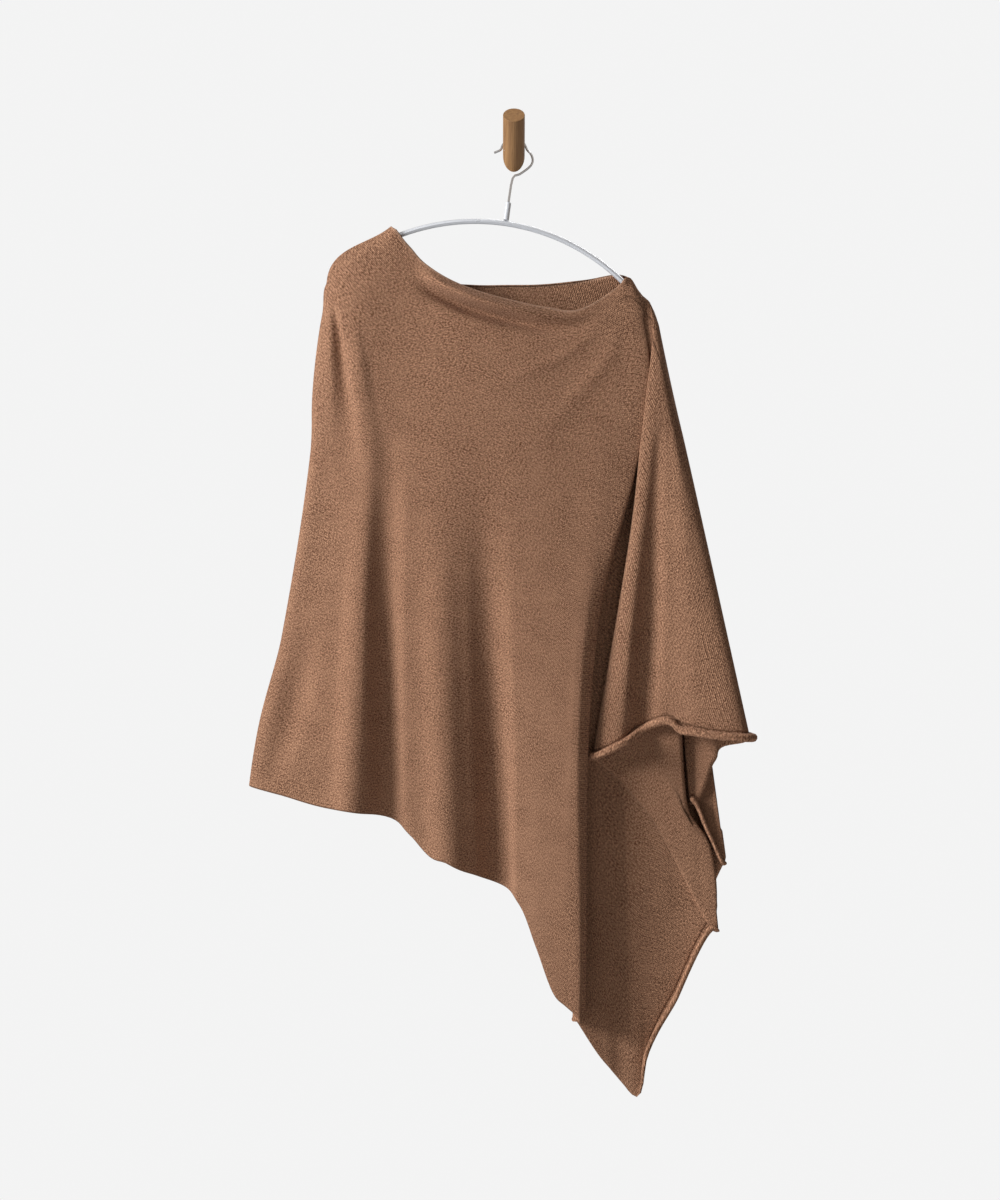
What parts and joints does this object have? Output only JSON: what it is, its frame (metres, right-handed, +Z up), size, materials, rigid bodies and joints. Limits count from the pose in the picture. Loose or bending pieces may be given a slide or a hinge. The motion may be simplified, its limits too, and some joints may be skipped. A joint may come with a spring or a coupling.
{
  "type": "knitted poncho on a hanger and wall peg",
  "caption": "Plain knitted poncho, folded at one side with a long draping point at the other, on an arc hanger hooked over a slanting wooden wall peg.",
  "frame": {"origin": "middle of the wooden peg's foot, where it meets the wall", "axes": "+Z up, +Y into the wall, +X to the right for a viewer who faces the wall"},
  "size_m": [0.627, 0.086, 1.2465],
  "materials": {
    "knitting": "soft melange wool knitting, slightly fuzzy",
    "white": "white satin coating",
    "chrome": "polished",
    "wood": "oiled, fine grain"
  },
  "bodies": {
    "root": {"front_panel": "knitting", "back_panel": "knitting", "hanger_arm": "white", "hanger_ferrule": "white", "hanger_hook": "chrome", "wall_peg": "wood"}
  },
  "joints": []
}
